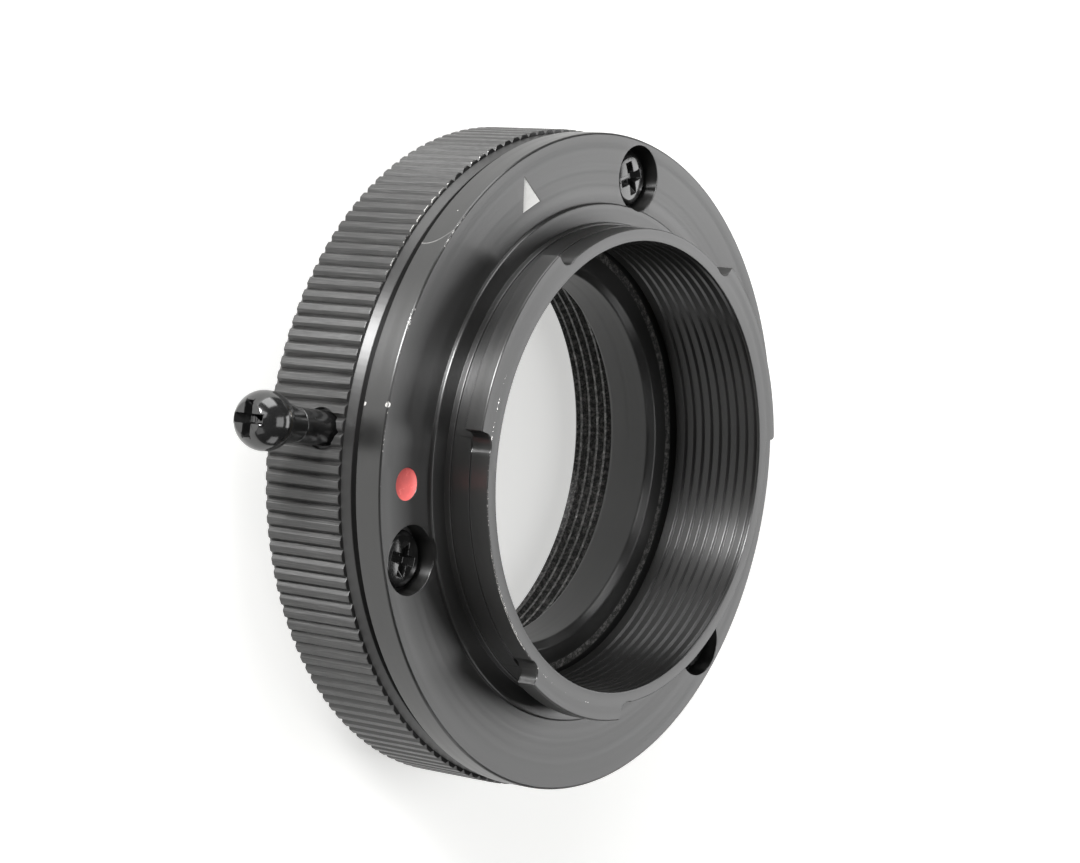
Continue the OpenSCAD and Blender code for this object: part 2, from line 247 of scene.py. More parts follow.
def edges_broken(piece, width, angle=40, segments=2):
    step = piece.modifiers.new("edge", "BEVEL")
    step.width = width * MM
    step.segments = segments
    step.limit_method = "ANGLE"
    step.angle_limit = math.radians(angle)
    step.use_clamp_overlap = False
    return smooth(piece)


def smooth(piece, sharp=50):
    """Smooth shading. At each corner the faces that turn less than sharp are averaged by their area."""
    baked(piece)
    data = piece.data
    limit = math.cos(math.radians(sharp))
    around = [[] for vertex in data.vertices]
    for face in data.polygons:
        face.use_smooth = True
        for vertex in face.vertices:
            around[vertex].append((face.normal.copy(), face.area))
    normals = []
    for face in data.polygons:
        here = face.normal.copy()
        for vertex in face.vertices:
            mean = Vector()
            for normal, area in around[vertex]:
                if normal.dot(here) > limit:
                    mean += normal * area
            normals.append(mean.normalized())
    data.normals_split_custom_set(normals)
    print(piece.name, "faces:", len(data.polygons))
    return piece


print("tools: cut, edges_broken, smooth")

# %% [markdown]
# The bayonet mount is one turned part: flange, two low steps, collar with a rim, grooved bore and
# spigot. The grooves in the bore stop stray light. They follow one rule, a narrow V of fixed pitch, so
# they are worked out and not listed.

# %% Grooved bore of the mount
groove_pitch = 1.04
groove_deep = 0.2
groove_half = 0.18
groove_count = int((collar_z - spigot_z - 0.7) / groove_pitch) + 1
bore_wall = [(bore_r, collar_z, 0.1)]
for k in range(groove_count):
    middle = collar_z - 0.45 - k * groove_pitch
    bore_wall.append((bore_r, middle + groove_half, 0.04))
    bore_wall.append((bore_r + groove_deep, middle, 0.03))
    bore_wall.append((bore_r, middle - groove_half, 0.04))
print("grooves in the bore:", groove_count)

# %% [markdown]
# A mill then clears the rim between the three lugs, and a round cutter leaves a hollow beside five of
# the lug ends. All of that only changes how far the rim reaches at each angle, so the rim's radius is
# worked out for each angle and the outline is swept with it. No Boolean is needed, and the edges stay
# clean.

# %% Reach of the rim at each angle
lug_gaps = [(55.8, 124.0), (173.5, 233.2), (272.2, 365.9)]
cutter_ends = [(55.8, 1), (124.0, -1), (173.5, 1), (233.2, -1), (272.2, 1)]
cutter_r = 1.3
cutter_circle_r = milled_r + cutter_r - 0.12
cutter_turn = math.degrees(math.asin(0.4 * cutter_r / cutter_circle_r))


def off_cutter(radius):
    """Angle from the cutter's middle at which its near wall lies at the radius."""
    share = (cutter_circle_r ** 2 + radius ** 2 - cutter_r ** 2) / (2 * cutter_circle_r * radius)
    return math.degrees(math.acos(min(share, 1.0)))


def cutter_wall(off):
    """Radius of the cutter's near wall at an angle from its middle."""
    side = cutter_circle_r * math.sin(math.radians(off))
    return cutter_circle_r * math.cos(math.radians(off)) - math.sqrt(max(cutter_r ** 2 - side ** 2, 0.0))


# Each station is an angle, the rim's radius there and the height where the rim starts.
low_cut, gap_cut = lug_z - 0.2, lug_z - 0.1
corner_points = [(0.04, 0.1), (0.16, 0.02), (0.3, 0.0)]
stations = []
for angle, side in cutter_ends:
    middle = angle + side * cutter_turn
    reach = math.degrees(math.asin(cutter_r / cutter_circle_r))
    into_gap, at_collar = off_cutter(milled_r), off_cutter(collar_r)
    end = [(into_gap, milled_r, gap_cut), (into_gap, milled_r, low_cut)]
    for k in range(1, 6):
        off = into_gap * (1 - k / 3)
        end.append((off, cutter_wall(off), low_cut))
    end.append((-into_gap, milled_r, low_cut))
    end += [(-at_collar, collar_r, low_cut), (-at_collar, collar_r, lug_z)]
    for k in range(1, 9):
        off = at_collar + (reach - at_collar) * math.sin(math.radians(90 * k / 8))
        end.append((-off, cutter_wall(off), lug_z))
    for off, inset in corner_points:
        end.append((-reach - off, lug_r - inset, lug_z))
    end = [(middle + side * off, radius, height) for off, radius, height in end]
    stations.append(end if side < 0 else end[::-1])

# The sixth end is plain, with a rounded corner.
plain_angle = lug_gaps[-1][1]
corner_w, corner_h = 0.9, 0.4
plain_end = [(plain_angle, milled_r, gap_cut)]
plain_end += [(plain_angle + 0.06, collar_r, gap_cut), (plain_angle + 0.06, collar_r, lug_z)]
for k in range(7):
    turn = math.radians(15 * k)
    along = plain_angle + 1.0 - corner_w * math.cos(turn)
    plain_end.append((along, lug_r - corner_h + corner_h * math.sin(turn), lug_z))
stations.append(plain_end)
special = sorted((station for end in stations for station in end), key=lambda station: station[0])
print("rim stations:", len(special), "cutter reach, degrees:", round(reach, 2))

# %% The mount, swept with its changing rim


def rim_outline(rim_r, rim_z):
    lip = 0.15 if rim_z >= lug_z else 0.1
    return rounded(bore_wall + [
        (bore_r, spigot_z, 0.1),
        (spigot_r, spigot_z, 0.1),
        (spigot_r, flange_under_z - 0.9, 0.02),
        (register_r, flange_under_z - 0.9, 0.1),
        (register_r, flange_under_z, 0.02),
        (flange_r, flange_under_z, 0.06),
        (flange_r, flange_z - 0.14, 0.08),
        (flange_r - 0.14, flange_z, 0.08),
        (step_1_r, flange_z, 0.02),
        (step_1_r, flange_z + step_1_h, 0.2),
        (step_2_r, flange_z + step_1_h, 0.02),
        (step_2_r, flange_z + step_2_h, 0.2),
        (collar_r, flange_z + step_2_h, 0.02),
        (collar_r, rim_z, 0.03),
        (rim_r, rim_z, 0.05),
        (rim_r, collar_z, lip),
    ])


def rim_columns():
    """All columns of the sweep: the stations of the lug ends, and even steps between them."""
    made = []
    ends = [(end[0][0], end[-1][0]) for end in stations]
    for k in range(240):
        angle = 1.5 * k
        if any(first - 0.4 < a < last + 0.4 for first, last in ends for a in (angle, angle + 360)):
            continue
        in_gap = any(first < a < last for first, last in lug_gaps for a in (angle, angle + 360))
        made.append((angle, milled_r, gap_cut) if in_gap else (angle, lug_r, lug_z))
    made += [(a - 360 if a >= 360 else a, radius, height) for a, radius, height in special]
    return sorted(made, key=lambda column: column[0])


mount_mesh = bmesh.new()
columns = []
for angle, rim_r, rim_z in rim_columns():
    columns.append(column(mount_mesh, rim_outline(rim_r, rim_z), angle))
join_columns(mount_mesh, columns)
mount = piece_from(mount_mesh, "bayonet_ring")
print("columns:", len(columns), "faces:", len(mount.data.polygons))

# %% [markdown]
# The three screws sit in counterbores. Two shallow pockets take the paint of the index dot and of the white
# triangle, and a slot takes the camera's lock pin. The cutters of the counterbores and of the two pockets
# are a little wider at their mouth, so the edge they leave is broken and catches the light.

# %% Cutters for the counterbores


def at_angle(angle, radius, height=0.0):
    """Place on the ring: turned to the angle, out to the radius and up to the height, in millimetres."""
    out = Matrix.Translation(Vector((radius, 0, height)) * MM)
    return Matrix.Rotation(math.radians(angle), 4, "Z") @ out


screw_hole_r = 1.12
counterbore_r = 3.1
flare = 0.07
bore_outline = [
    (0, flange_under_z - 1),
    (screw_hole_r, flange_under_z - 1),
    (screw_hole_r, seat_z),
    (counterbore_r, seat_z),
    (counterbore_r, flange_z - flare),
    (counterbore_r + flare, flange_z),
    (counterbore_r + flare, flange_z + 1),
    (0, flange_z + 1),
]
drill_mesh = bmesh.new()
for angle in screw_angles:
    sweep(drill_mesh, bore_outline, even_angles(64), at_angle(angle, screw_circle_r))
drill_cutter = piece_from(drill_mesh, "drill_cutter")
print("counterbores:", len(screw_angles))

# %% Pockets for the paint, and the lock slot
paint_deep = 0.35
dot_angle = 183.2
dot_circle_r = flange_r - 3.65
dot_r = 1.45
mark_angle = 117.0
mark_circle_r = flange_r - 3.2
mark_h = 3.0
mark_w = 0.9 * mark_h
lock_slot_angle = -12.0
lock_slot_len = 3.0
lock_slot_w = 2.2


def stack(mesh, levels, place):
    """Adds a closed body over flat outlines of equal count, each with its height, in millimetres."""
    made = []
    for height, corners in levels:
        made.append([mesh.verts.new(place @ (Vector((x, y, height)) * MM)) for x, y in corners])
    mesh.faces.new(made[0])
    mesh.faces.new(made[-1])
    for lower, upper in zip(made, made[1:]):
        for i in range(len(lower)):
            k = (i + 1) % len(lower)
            mesh.faces.new((lower[i], lower[k], upper[k], upper[i]))


def prism(mesh, corners, low, high, place):
    """Adds an upright prism over flat corners, given in millimetres."""
    stack(mesh, [(low, corners), (high, corners)], place)


def mark_corners(inset=0.0):
    tip = (mark_h / 2 - 2 * inset, 0)
    left = (-mark_h / 2 + inset, mark_w / 2 - 1.5 * inset)
    return [tip, left, (left[0], -left[1])]


pocket_mesh = bmesh.new()
dot_flare = 0.04
dot_outline = [(0, flange_z - paint_deep), (dot_r, flange_z - paint_deep), (dot_r, flange_z - dot_flare),
               (dot_r + dot_flare, flange_z), (dot_r + dot_flare, flange_z + 1), (0, flange_z + 1)]
sweep(pocket_mesh, dot_outline, even_angles(48), at_angle(dot_angle, dot_circle_r))
mark_flare = 0.03
mark_levels = [(flange_z - paint_deep, mark_corners()), (flange_z - mark_flare, mark_corners()),
               (flange_z, mark_corners(-mark_flare)), (flange_z + 1, mark_corners(-mark_flare))]
stack(pocket_mesh, mark_levels, at_angle(mark_angle, mark_circle_r))
slot_half = lock_slot_w / 2
slot_corners = [(0, -slot_half), (lock_slot_len, -slot_half), (lock_slot_len, slot_half), (0, slot_half)]
slot_place = at_angle(lock_slot_angle, screw_circle_r - lock_slot_len / 2)
prism(pocket_mesh, slot_corners, flange_under_z - 1, flange_z + 1, slot_place)
pocket_cutter = piece_from(pocket_mesh, "pocket_cutter")
cut(mount, drill_cutter, pocket_cutter)
smooth(mount)
print("pockets are", paint_deep, "mm deep")

# %% [markdown]
# The paint was run into its pockets wet, so it stands a little higher at the wall than in the middle.
# Both fills are small closed shapes with a dished top.

# %% Paint of the dot and the triangle
fill_low = flange_z - paint_deep
dot_edge = dot_r - 0.01
dot_fill = [(0, fill_low), (dot_edge, fill_low), (dot_edge, fill_low + 0.3), (1.25, fill_low + 0.24),
            (0.9, fill_low + 0.17), (0.45, fill_low + 0.13), (0, fill_low + 0.12)]
dot = turned("red_dot", dot_fill, steps=64, place=at_angle(dot_angle, dot_circle_r))
smooth(dot)

mark_place = at_angle(mark_angle, mark_circle_r)
mark_mesh = bmesh.new()
mark_fill = ((0.01, 0.0), (0.01, 0.31), (0.09, 0.27), (0.2, 0.245), (0.4, 0.235))
stack(mark_mesh, [(fill_low + height, mark_corners(inset)) for inset, height in mark_fill], mark_place)
mark = piece_from(mark_mesh, "white_triangle")
smooth(mark)
print("paint starts at height", round(fill_low, 2))

# %% [markdown]
# The focusing ring is knurled straight: 150 equal teeth with a flat crest and a V between them. One
# tooth is a strip of a few dozen faces that also carries its share of the plain bands, and of the small
# rebate at the top, which keeps a dark line under the flange. Geometry Nodes set the strip round the axis
# and weld it to the smooth inside of the ring, so the count or the depth of the teeth stays one number.

# %% One tooth of the knurl
teeth = 150
tooth_deep = 0.35
crest_share = 0.56
knurl_top_z = grip_top_z - 1.5
knurl_low_z = knurl_top_z - 8.5
band_r = grip_r - tooth_deep - 0.05
rebate_w = 0.95
rebate_h = 0.6
rebate_r = band_r - rebate_w
rebate_z = grip_top_z - rebate_h
pitch_angle = 360 / teeth
crest_start = (0.5 - crest_share / 2) * pitch_angle
crest_end = (0.5 + crest_share / 2) * pitch_angle
crest_round = 0.16
tooth_stations = [
    (0.0, tooth_deep),
    (crest_start, 0.05),
    (crest_start + crest_round, 0.0),
    (crest_end - crest_round, 0.0),
    (crest_end, 0.05),
    (pitch_angle, tooth_deep),
]


def tooth_outline(drop):
    """Outer side of the ring, top to bottom, where the knurl lies drop below its crest."""
    r = grip_r - drop
    return [
        (rebate_r, grip_top_z),
        (rebate_r, rebate_z),
        (band_r - 0.36, rebate_z),
        (band_r - 0.31, rebate_z - 0.04),
        (band_r - 0.02, knurl_top_z + 0.08),
        (band_r, knurl_top_z),
        (r - 0.04, knurl_top_z - 0.01),
        (r, knurl_top_z - 0.12),
        (r, knurl_low_z + 0.12),
        (r - 0.04, knurl_low_z + 0.01),
        (band_r, knurl_low_z),
        (band_r - 0.4, grip_low_z),
    ]


tooth_mesh = bmesh.new()
columns = [column(tooth_mesh, tooth_outline(drop), angle) for angle, drop in tooth_stations]
join_columns(tooth_mesh, columns[::-1], full_turn=False, closed=False)
tooth_data = bpy.data.meshes.new("knurl_tooth")
tooth_mesh.to_mesh(tooth_data)
tooth_mesh.free()
tooth = bpy.data.objects.new("knurl_tooth", tooth_data)
print("faces of one tooth:", len(tooth_data.polygons))

# %% Smooth inside of the ring
sleeve_r = hub_r + 0.05
web_top_z = grip_low_z + 4.65
wire_z = flange_under_z - 1.5
wire_groove_half = 0.64
inside = rounded([
    (sleeve_r, grip_top_z, 0.12),
    (sleeve_r, wire_z + wire_groove_half, 0.05),
    (hub_r + wire_groove_half, wire_z + wire_groove_half, 0.05),
    (hub_r + wire_groove_half, wire_z - wire_groove_half, 0.05),
    (sleeve_r, wire_z - wire_groove_half, 0.05),
    (sleeve_r, web_top_z, 0.05),
    (hub_bore_r, web_top_z, 0.15),
    (hub_bore_r, grip_low_z, 0.2),
], bends=2)
inside = [Vector((rebate_r, grip_top_z))] + inside + [Vector((band_r - 0.4, grip_low_z))]
ring_angles = [k * pitch_angle + angle for k in range(teeth) for angle, drop in tooth_stations[:-1]]
inside_mesh = bmesh.new()
columns = [column(inside_mesh, inside, angle) for angle in ring_angles]
join_columns(inside_mesh, columns, closed=False)
inside_data = bpy.data.meshes.new("ring_inside")
inside_mesh.to_mesh(inside_data)
inside_mesh.free()
ring_inside = bpy.data.objects.new("ring_inside", inside_data)
print("faces inside the ring:", len(inside_data.polygons))

# %% [markdown]
# A Geometry Nodes tree is like a small machine with dials. The helpers below make a tree, add a dial for
# each size, and turn a dial by the socket's identifier, which is what the modifier listens to.

# %% Helpers for Geometry Nodes


def new_tree(name, dials):
    tree = bpy.data.node_groups.new(name, "GeometryNodeTree")
    tree.interface.new_socket("Geometry", in_out="OUTPUT", socket_type="NodeSocketGeometry")
    for label, kind in dials.items():
        tree.interface.new_socket(label, in_out="INPUT", socket_type=kind)
    return tree, tree.nodes.new("NodeGroupInput"), tree.nodes.new("NodeGroupOutput")


def run_tree(tree, name, values):
    """Runs the tree on an empty mesh with the given dials and returns a plain mesh object."""
    carrier = bpy.data.objects.new(name, bpy.data.meshes.new(name))
    bpy.context.scene.collection.objects.link(carrier)
    step = carrier.modifiers.new(tree.name, "NODES")
    step.node_group = tree
    for item in tree.interface.items_tree:
        if item.item_type == "SOCKET" and item.in_out == "INPUT" and item.name in values:
            step[item.identifier] = values[item.name]
    return baked(carrier)


print("geometry trees so far:", len(bpy.data.node_groups))

# %% The knurl, set round the axis
knurl_tree, dial, result = new_tree("set_knurl", {
    "Teeth": "NodeSocketInt",
    "Weld": "NodeSocketFloat",
    "Tooth": "NodeSocketObject",
    "Inside": "NodeSocketObject",
    "Finish": "NodeSocketMaterial",
})
add = knurl_tree.nodes.new
link = knurl_tree.links.new
points = add("GeometryNodeMeshLine")
points.mode = "OFFSET"
points.inputs["Offset"].default_value = (0, 0, 0)
link(dial.outputs["Teeth"], points.inputs["Count"])
index = add("GeometryNodeInputIndex")
turn = add("ShaderNodeMath")
turn.operation = "DIVIDE"
link(index.outputs[0], turn.inputs[0])
link(dial.outputs["Teeth"], turn.inputs[1])
radians = add("ShaderNodeMath")
radians.operation = "MULTIPLY"
radians.inputs[1].default_value = 2 * math.pi
link(turn.outputs[0], radians.inputs[0])
about_z = add("ShaderNodeCombineXYZ")
link(radians.outputs[0], about_z.inputs["Z"])
tooth_info = add("GeometryNodeObjectInfo")
link(dial.outputs["Tooth"], tooth_info.inputs["Object"])
inside_info = add("GeometryNodeObjectInfo")
link(dial.outputs["Inside"], inside_info.inputs["Object"])
setting = add("GeometryNodeInstanceOnPoints")
link(points.outputs[0], setting.inputs["Points"])
link(tooth_info.outputs["Geometry"], setting.inputs["Instance"])
link(about_z.outputs[0], setting.inputs["Rotation"])
together = add("GeometryNodeJoinGeometry")
link(setting.outputs[0], together.inputs[0])
link(inside_info.outputs["Geometry"], together.inputs[0])
real = add("GeometryNodeRealizeInstances")
link(together.outputs[0], real.inputs[0])
weld = add("GeometryNodeMergeByDistance")
link(real.outputs[0], weld.inputs[0])
link(dial.outputs["Weld"], weld.inputs["Distance"])
finish = add("GeometryNodeSetMaterial")
link(weld.outputs[0], finish.inputs["Geometry"])
link(dial.outputs["Finish"], finish.inputs["Material"])
link(finish.outputs[0], result.inputs[0])
print("nodes of the knurl tree:", len(knurl_tree.nodes))

# %% [markdown]
# A finish is needed before the trees run, because each tree ends by setting its material. The black
# of this adapter is anodised aluminium: a dyed oxide skin that is satin, not painted. Under it lie the
# fine rings left by the lathe, and along the edges the skin is worn to bright specks. All materials
# share the same few effects, so each effect is a shader node group with its own dials. Its maths is
# written with wires, so that a sum of nodes reads as a sum.

# %% Wires: shader maths written as sums


class Wire:
    """A value on its way through a shader tree. Wires add and multiply as numbers do."""

    def __init__(self, tree, socket):
        self.tree = tree
        self.socket = socket

    def __add__(self, other):
        return calc(self.tree, "ADD", self, other)

    def __sub__(self, other):
        return calc(self.tree, "SUBTRACT", self, other)

    def __rsub__(self, other):
        return calc(self.tree, "SUBTRACT", other, self)

    def __mul__(self, other):
        return calc(self.tree, "MULTIPLY", self, other)

    def __truediv__(self, other):
        return calc(self.tree, "DIVIDE", self, other)

    def __rtruediv__(self, other):
        return calc(self.tree, "DIVIDE", other, self)

    def __pow__(self, power):
        return calc(self.tree, "POWER", self, power)

    def __abs__(self):
        return calc(self.tree, "ABSOLUTE", self)


def feed(tree, value, socket):
    """Sets a socket to a number or a colour, or leads a wire into it."""
    if isinstance(value, Wire):
        tree.links.new(value.socket, socket)
    elif isinstance(value, tuple):
        socket.default_value = (*value, 1)
    else:
        socket.default_value = value


def calc(tree, operation, *values, clamp=False):
    step = tree.nodes.new("ShaderNodeMath")
    step.operation = operation
    step.use_clamp = clamp
    for value, socket in zip(values, step.inputs):
        feed(tree, value, socket)
    return Wire(tree, step.outputs[0])


print("wires are ready")

# %% Helpers for effects


def new_effect(name, dials, results):
    """A node group. Returns it, a wire from each dial, and the sockets of its results."""
    group = bpy.data.node_groups.new(name, "ShaderNodeTree")
    for label, value in dials.items():
        socket = group.interface.new_socket(label, in_out="INPUT", socket_type="NodeSocketFloat")
        socket.default_value = value
    for label in results:
        group.interface.new_socket(label, in_out="OUTPUT", socket_type="NodeSocketFloat")
    entry = group.nodes.new("NodeGroupInput")
    leave = group.nodes.new("NodeGroupOutput")
    print("effect:", name, "dials:", list(dials))
    return group, {label: Wire(group, entry.outputs[label]) for label in dials}, leave.inputs


def use_effect(tree, group, **dials):
    """Places an effect with its dials set, and returns a wire from each result."""
    step = tree.nodes.new("ShaderNodeGroup")
    step.node_tree = group
    for label, value in dials.items():
        feed(tree, value, step.inputs[label.replace("_", " ")])
    return {socket.name: Wire(tree, socket) for socket in step.outputs}


def ramp(tree, value, low, high, start=0.0, end=1.0):
    """A smooth rise from start to end while the value goes from low to high."""
    step = tree.nodes.new("ShaderNodeMapRange")
    step.interpolation_type = "SMOOTHSTEP"
    labels = ("Value", "From Min", "From Max", "To Min", "To Max")
    for label, item in zip(labels, (value, low, high, start, end)):
        feed(tree, item, step.inputs[label])
    return Wire(tree, step.outputs[0])


def object_place(tree):
    return Wire(tree, tree.nodes.new("ShaderNodeTexCoord").outputs["Object"])


def combined(tree, x, y, z=0.0):
    step = tree.nodes.new("ShaderNodeCombineXYZ")
    for value, socket in zip((x, y, z), step.inputs):
        feed(tree, value, socket)
    return Wire(tree, step.outputs[0])


def noise(tree, scale, detail=3.0, rough=0.5, place=None):
    """Noise with its scale in lumps for each millimetre, or over another place."""
    step = tree.nodes.new("ShaderNodeTexNoise")
    step.inputs["Scale"].default_value = scale if place else 1000 * scale
    step.inputs["Detail"].default_value = detail
    step.inputs["Roughness"].default_value = rough
    feed(tree, place or object_place(tree), step.inputs["Vector"])
    return Wire(tree, step.outputs[0])


print("helpers for effects are ready")

# %% [markdown]
# Marks on a turned part follow its radius, its height and the angle round it. The first effect works
# those three out once, and the others start from it. The lathe's rings are noise that changes quickly
# across the radius and the height, and slowly round the ring.

# %% Effect: place on the ring, in millimetres
ring_place, dial, result = new_effect("ring_place", {}, ["Radius", "Height", "Arc"])
split = ring_place.nodes.new("ShaderNodeSeparateXYZ")
feed(ring_place, object_place(ring_place), split.inputs[0])
x_mm, y_mm, z_mm = (Wire(ring_place, socket) * 1000.0 for socket in split.outputs)
feed(ring_place, calc(ring_place, "SQRT", x_mm * x_mm + y_mm * y_mm), result["Radius"])
feed(ring_place, z_mm, result["Height"])
feed(ring_place, calc(ring_place, "ARCTAN2", y_mm, x_mm), result["Arc"])
TO_DEGREES = 180 / math.pi

# %% Effect: rings left by the lathe
lathe_rings, dial, result = new_effect("lathe_rings", {"Lines": 6.0, "Waviness": 0.6}, ["Height", "Streak"])
place = use_effect(lathe_rings, ring_place)
across_r = place["Radius"] * dial["Lines"]
across_z = place["Height"] * dial["Lines"]
lines = combined(lathe_rings, across_r, across_z, place["Arc"] * dial["Waviness"])
feed(lathe_rings, noise(lathe_rings, 1.0, 2.0, place=lines), result["Height"])
feed(lathe_rings, noise(lathe_rings, 0.28, 3.0, place=lines), result["Streak"])

# %% [markdown]
# The knurl was pressed or planed in along the axis, so its grain runs along the teeth and not round the
# ring. The effect stretches noise that way and stops at the top of the teeth, where the turned band starts.

# %% Effect: grain along the teeth
pressed_grain, dial, result = new_effect(
    "pressed_grain", {"Lines": 13.0, "Stretch": 0.25, "Top": 13.0}, ["Height"])
place = use_effect(pressed_grain, ring_place)
round_mm = place["Arc"] * 31.0
lines = combined(pressed_grain, round_mm * dial["Lines"], place["Height"] * dial["Stretch"])
on_teeth = calc(pressed_grain, "LESS_THAN", place["Height"], dial["Top"])
feed(pressed_grain, noise(pressed_grain, 1.0, 3.0, place=lines) * on_teeth, result["Height"])

# %% [markdown]
# Anodising wears first on sharp edges, in chips and short stretches. The mask is strongest on one round
# edge, given by its radius and height, and fades away from it and towards the ends of a stretch. Noise
# that passes a level breaks the worn line into specks.

# %% Effect: wear along one round edge
edge_wear, dial, result = new_effect("edge_wear", {
    "Edge radius": 31.0, "Edge height": 17.5, "Width": 0.13,
    "Amount": 0.5, "Middle": 150.0, "Spread": 400.0,
}, ["Mask"])
place = use_effect(edge_wear, ring_place)
off_r = place["Radius"] - dial["Edge radius"]
off_z = place["Height"] - dial["Edge height"]
away = calc(edge_wear, "SQRT", off_r * off_r + off_z * off_z)
near = calc(edge_wear, "SUBTRACT", 1.0, away / dial["Width"], clamp=True)
turned_off = place["Arc"] * TO_DEGREES - dial["Middle"]
turned_off = abs(calc(edge_wear, "WRAP", turned_off, 180.0, -180.0))
within = calc(edge_wear, "SUBTRACT", 1.0, turned_off / dial["Spread"], clamp=True)
patch = ramp(edge_wear, noise(edge_wear, 0.16, 2.0), 0.42, 0.62, 0.5, 1.0)
chance = patch * within ** 0.5 * dial["Amount"]
level = 1.0 - chance * near ** 0.5
chips = noise(edge_wear, 4.5, 4.0, rough=0.6)
feed(edge_wear, ramp(edge_wear, chips, level * 0.92, level), result["Mask"])

# %% [markdown]
# Two chips and one curved scratch show on the rim, each at a place of its own. A chip is what lies near
# a point, with a ragged outline. The scratch is a line of angles that bends as it climbs.

# %% Effect: one chip
chip, dial, result = new_effect(
    "round_chip", {"Angle": 170.0, "Radius": 31.0, "Height": 17.4, "Size": 0.2}, ["Mask"])
place = use_effect(chip, ring_place)
along = (place["Arc"] * TO_DEGREES - dial["Angle"]) / TO_DEGREES * place["Radius"]
up = place["Height"] - dial["Height"]
inward = place["Radius"] - dial["Radius"]
away = calc(chip, "SQRT", along * along + up * up + inward * inward)
ragged = dial["Size"] * (noise(chip, 6.0, 2.0) + 0.5)
feed(chip, calc(chip, "LESS_THAN", away, ragged), result["Mask"])

# %% Effect: one curved scratch on the rim
scratch, dial, result = new_effect("curved_scratch", {
    "Angle": 141.0, "Height": 14.8, "Bend": 0.27, "Width": 0.12, "Inner radius": 30.9,
}, ["Mask"])
place = use_effect(scratch, ring_place)
up = calc(scratch, "MAXIMUM", place["Height"] - dial["Height"], 0.0)
off_line = abs(place["Arc"] * TO_DEGREES - dial["Angle"] + up ** 2.6 * dial["Bend"])
line = ramp(scratch, off_line, dial["Width"] * 0.4, dial["Width"], 1.0, 0.0)
on_rim = calc(scratch, "GREATER_THAN", place["Radius"], dial["Inner radius"])
feed(scratch, line * on_rim, result["Mask"])

# %% Effect: pale dust and small nicks
dust, dial, result = new_effect("dust_specks", {"Spacing": 2.0, "Size": 0.06}, ["Mask"])
cells = dust.nodes.new("ShaderNodeTexVoronoi")
feed(dust, object_place(dust), cells.inputs["Vector"])
feed(dust, 1000.0 / dial["Spacing"], cells.inputs["Scale"])
lot = dust.nodes.new("ShaderNodeSeparateColor")
feed(dust, Wire(dust, cells.outputs["Color"]), lot.inputs[0])
chosen = calc(dust, "GREATER_THAN", Wire(dust, lot.outputs[0]), 0.62)
size = dial["Size"] / dial["Spacing"] * (Wire(dust, lot.outputs[1]) + 0.2)
speck = calc(dust, "LESS_THAN", Wire(dust, cells.outputs["Distance"]), size)
feed(dust, chosen * speck, result["Mask"])

# %% [markdown]
# A material joins the effects. Wherever the skin is worn, chipped or dusty, the same mask mixes in the
# colour of bare aluminium, raises Metallic and lowers Roughness a little, so the three agree. On the lens
# thread the mask is partly real wear and partly a painted glint, which lightens the thread band in patches.

# %% Helpers for materials


def new_material(name, color, roughness, metallic=0.0, specular=0.5):
    material = bpy.data.materials.new(name)
    material.use_nodes = True
    tree = material.node_tree
    shader = next(n for n in tree.nodes if n.type == "BSDF_PRINCIPLED")
    shader.inputs["Base Color"].default_value = (*color, 1)
    shader.inputs["Roughness"].default_value = roughness
    shader.inputs["Metallic"].default_value = metallic
    shader.inputs["Specular IOR Level"].default_value = specular
    material.diffuse_color = (*color, 1)
    return material, tree, shader


def shade(color, share):
    return tuple(share * part for part in color)


def blend_color(tree, mask, under, over):
    """Mixes two colours by a mask."""
    step = tree.nodes.new("ShaderNodeMix")
    step.data_type = "RGBA"
    for value, socket in ((mask, step.inputs[0]), (under, step.inputs[6]), (over, step.inputs[7])):
        feed(tree, value, socket)
    return Wire(tree, step.outputs[2])


def bump(tree, shader, height, strength, depth):
    step = tree.nodes.new("ShaderNodeBump")
    step.inputs["Strength"].default_value = strength
    step.inputs["Distance"].default_value = depth * MM
    feed(tree, height, step.inputs["Height"])
    tree.links.new(step.outputs[0], shader.inputs["Normal"])


print("twice as pale as 0.1 grey:", shade((0.1, 0.1, 0.1), 2))

# %% Black anodised aluminium
bare_aluminium = (0.72, 0.71, 0.69)


